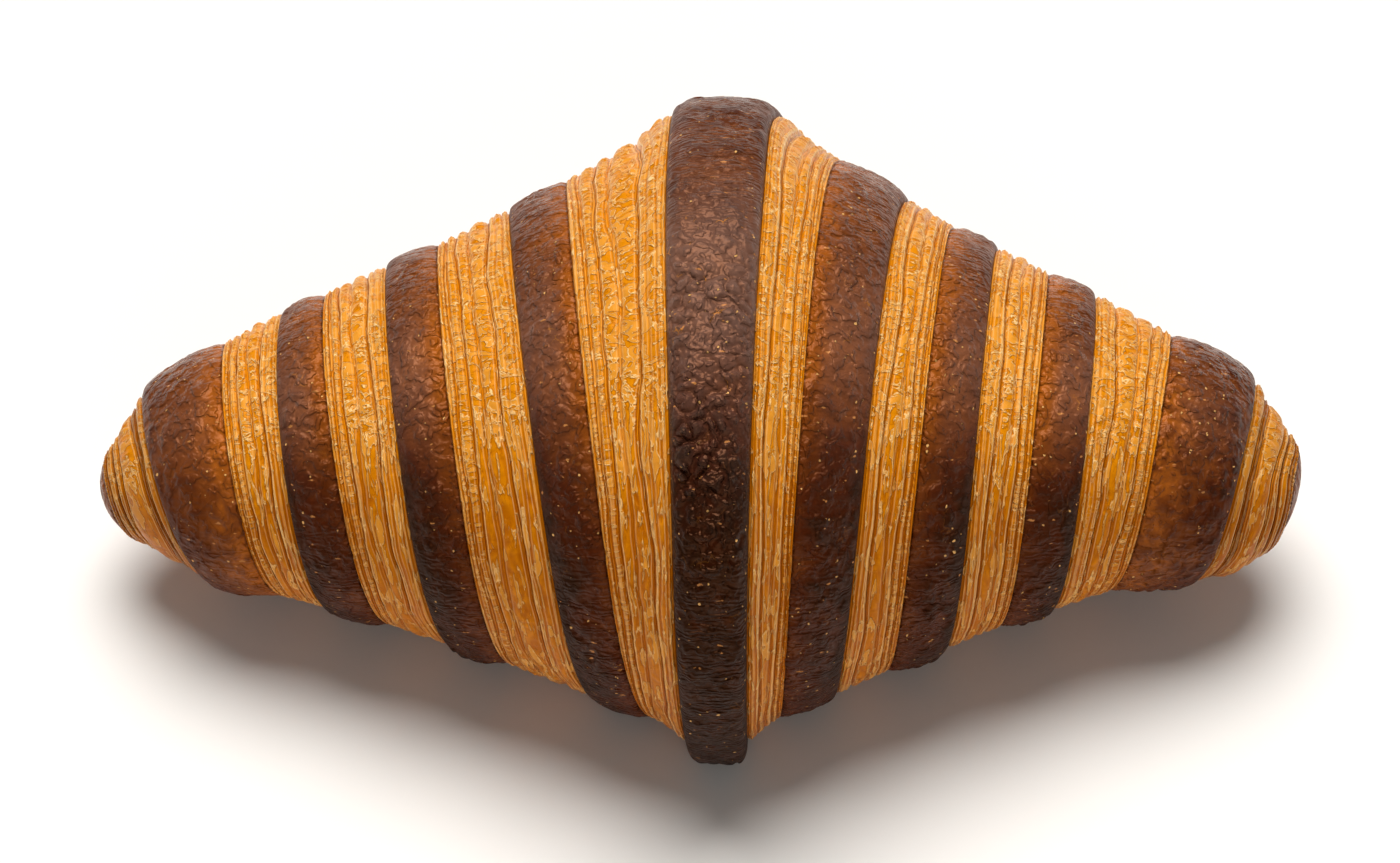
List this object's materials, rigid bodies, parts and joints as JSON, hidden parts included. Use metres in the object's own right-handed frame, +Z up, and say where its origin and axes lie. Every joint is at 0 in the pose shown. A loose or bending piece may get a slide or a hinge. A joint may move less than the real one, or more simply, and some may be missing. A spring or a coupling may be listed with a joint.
{
  "type": "croissant",
  "caption": "Baked croissant: a straight, plump roll of flaky pastry wound from one triangle of dough, with stepped spiral wraps and two blunt tips, lying on its flat base.",
  "frame": {"origin": "centre of the bounding box in X and Y, at the bottom of the base that rests on the table", "axes": "+X along the roll towards the right tip, +Y away from the viewer, +Z up; the front of the flap faces -Y"},
  "size_m": [0.1722, 0.0998, 0.0725],
  "materials": {
    "baked_crust": "egg-washed, deep brown baked pastry with golden cut layers, satin"
  },
  "bodies": {
    "root": {"croissant": "baked_crust"}
  },
  "joints": []
}
